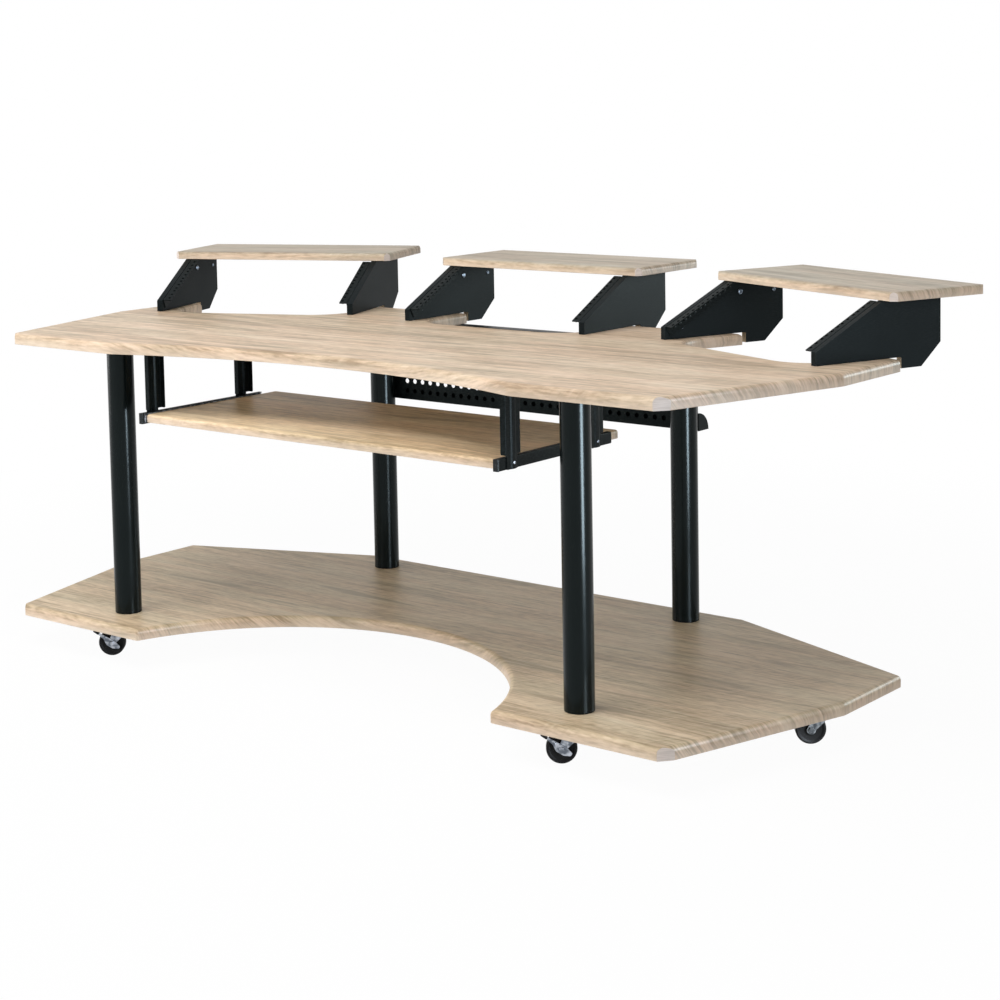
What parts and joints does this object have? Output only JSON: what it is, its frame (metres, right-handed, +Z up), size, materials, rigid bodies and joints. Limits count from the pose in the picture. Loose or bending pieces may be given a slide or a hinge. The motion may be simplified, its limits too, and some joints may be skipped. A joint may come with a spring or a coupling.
{
  "type": "studio desk",
  "caption": "Wide studio desk on casters, with rack bays under raised shelves, a sliding keyboard tray, a perforated cable tray and a curved lower board.",
  "frame": {"origin": "on the floor, in the middle of the footprint", "axes": "+X to the user's right, +Y away from the user, +Z up"},
  "size_m": [2.2264, 1.0634, 0.866],
  "materials": {
    "oak_board": "satin laminate",
    "black_panel": "satin painted board",
    "black_steel": "black powder coat",
    "zinc_steel": "zinc plated",
    "black_tyre": "matte",
    "pedal_plastic": "matte"
  },
  "bodies": {
    "desk": {"worktop": "oak_board", "lower_board": "oak_board", "riser_shelf_left": "oak_board", "riser_shelf_centre": "oak_board", "riser_shelf_right": "oak_board", "bracket_left_left": "black_panel", "bracket_left_right": "black_panel", "bracket_centre_left": "black_panel", "bracket_centre_right": "black_panel", "bracket_right_left": "black_panel", "bracket_right_right": "black_panel", "rack_rail_left_left": "black_steel", "rack_rail_left_right": "black_steel", "rack_rail_centre_left": "black_steel", "rack_rail_centre_right": "black_steel", "rack_rail_right_left": "black_steel", "rack_rail_right_right": "black_steel", "leg_front_left": "black_steel", "leg_front_right": "black_steel", "leg_rear_left": "black_steel", "leg_rear_right": "black_steel", "leg_plate_front_left": "black_steel", "leg_plate_front_right": "black_steel", "leg_plate_rear_left": "black_steel", "leg_plate_rear_right": "black_steel", "slide_outer_left": "black_steel", "slide_outer_right": "black_steel", "hanger_front_left": "black_steel", "hanger_front_right": "black_steel", "hanger_rear_left": "black_steel", "hanger_rear_right": "black_steel", "cable_tray": "black_steel", "cable_tray_end_left": "black_steel", "cable_tray_end_right": "black_steel", "caster_plate_front_left": "zinc_steel", "caster_plate_front_right": "zinc_steel", "caster_plate_rear_left": "zinc_steel", "caster_plate_rear_right": "zinc_steel", "caster_plate_side_left": "zinc_steel", "caster_plate_side_right": "zinc_steel"},
    "tray": {"keyboard_tray": "oak_board", "slide_inner_left": "zinc_steel", "slide_inner_right": "zinc_steel"},
    "slide_middle_left": {"slide_middle_left": "zinc_steel"},
    "slide_middle_right": {"slide_middle_right": "zinc_steel"},
    "caster_front_left": {"caster_fork_front_left": "zinc_steel"},
    "wheel_front_left": {"caster_wheel_front_left": "black_tyre"},
    "pedal_front_left": {"brake_pedal_front_left": "pedal_plastic"},
    "caster_front_right": {"caster_fork_front_right": "zinc_steel"},
    "wheel_front_right": {"caster_wheel_front_right": "black_tyre"},
    "pedal_front_right": {"brake_pedal_front_right": "pedal_plastic"},
    "caster_rear_left": {"caster_fork_rear_left": "zinc_steel"},
    "wheel_rear_left": {"caster_wheel_rear_left": "black_tyre"},
    "caster_rear_right": {"caster_fork_rear_right": "zinc_steel"},
    "wheel_rear_right": {"caster_wheel_rear_right": "black_tyre"},
    "caster_side_left": {"caster_fork_side_left": "zinc_steel"},
    "wheel_side_left": {"caster_wheel_side_left": "black_tyre"},
    "caster_side_right": {"caster_fork_side_right": "zinc_steel"},
    "wheel_side_right": {"caster_wheel_side_right": "black_tyre"}
  },
  "joints": [
    {"name": "tray_slide", "type": "slide", "parent": "desk", "child": "tray", "axis": [0, -1, 0], "range_m": [0, 0.28]},
    {"name": "middle_slide_left", "type": "slide", "parent": "desk", "child": "slide_middle_left", "axis": [0, -1, 0], "range_m": [0, 0.14]},
    {"name": "middle_slide_right", "type": "slide", "parent": "desk", "child": "slide_middle_right", "axis": [0, -1, 0], "range_m": [0, 0.14]},
    {"name": "swivel_front_left", "type": "hinge", "parent": "desk", "child": "caster_front_left", "pos_m": [-0.6421, -0.45618, 0.062], "axis": [0, 0, 1], "continuous": true},
    {"name": "roll_front_left", "type": "hinge", "parent": "caster_front_left", "child": "wheel_front_left", "pos_m": [-0.65786, -0.4685, 0.03], "axis": [0.6157, -0.788, 0], "continuous": true},
    {"name": "brake_front_left", "type": "hinge", "parent": "caster_front_left", "child": "pedal_front_left", "pos_m": [-0.65786, -0.4685, 0.03], "axis": [0.6157, -0.788, 0], "range_deg": [0, 25]},
    {"name": "swivel_front_right", "type": "hinge", "parent": "desk", "child": "caster_front_right", "pos_m": [0.6421, -0.45618, 0.062], "axis": [0, 0, 1], "continuous": true},
    {"name": "roll_front_right", "type": "hinge", "parent": "caster_front_right", "child": "wheel_front_right", "pos_m": [0.62633, -0.4685, 0.03], "axis": [0.6157, -0.788, 0], "continuous": true},
    {"name": "brake_front_right", "type": "hinge", "parent": "caster_front_right", "child": "pedal_front_right", "pos_m": [0.62633, -0.4685, 0.03], "axis": [0.6157, -0.788, 0], "range_deg": [0, 25]},
    {"name": "swivel_rear_left", "type": "hinge", "parent": "desk", "child": "caster_rear_left", "pos_m": [-0.443, 0.25832, 0.062], "axis": [0, 0, 1], "continuous": true},
    {"name": "roll_rear_left", "type": "hinge", "parent": "caster_rear_left", "child": "wheel_rear_left", "pos_m": [-0.45876, 0.246, 0.03], "axis": [0.6157, -0.788, 0], "continuous": true},
    {"name": "swivel_rear_right", "type": "hinge", "parent": "desk", "child": "caster_rear_right", "pos_m": [0.443, 0.25832, 0.062], "axis": [0, 0, 1], "continuous": true},
    {"name": "roll_rear_right", "type": "hinge", "parent": "caster_rear_right", "child": "wheel_rear_right", "pos_m": [0.42724, 0.246, 0.03], "axis": [0.6157, -0.788, 0], "continuous": true},
    {"name": "swivel_side_left", "type": "hinge", "parent": "desk", "child": "caster_side_left", "pos_m": [-0.9651, -0.08268, 0.062], "axis": [0, 0, 1], "continuous": true},
    {"name": "roll_side_left", "type": "hinge", "parent": "caster_side_left", "child": "wheel_side_left", "pos_m": [-0.98086, -0.095, 0.03], "axis": [0.6157, -0.788, 0], "continuous": true},
    {"name": "swivel_side_right", "type": "hinge", "parent": "desk", "child": "caster_side_right", "pos_m": [0.9651, -0.08268, 0.062], "axis": [0, 0, 1], "continuous": true},
    {"name": "roll_side_right", "type": "hinge", "parent": "caster_side_right", "child": "wheel_side_right", "pos_m": [0.94933, -0.095, 0.03], "axis": [0.6157, -0.788, 0], "continuous": true}
  ],
  "couplings": [
    {"joint": "middle_slide_left", "follows": "tray_slide", "ratio": 0.5},
    {"joint": "middle_slide_right", "follows": "tray_slide", "ratio": 0.5}
  ]
}
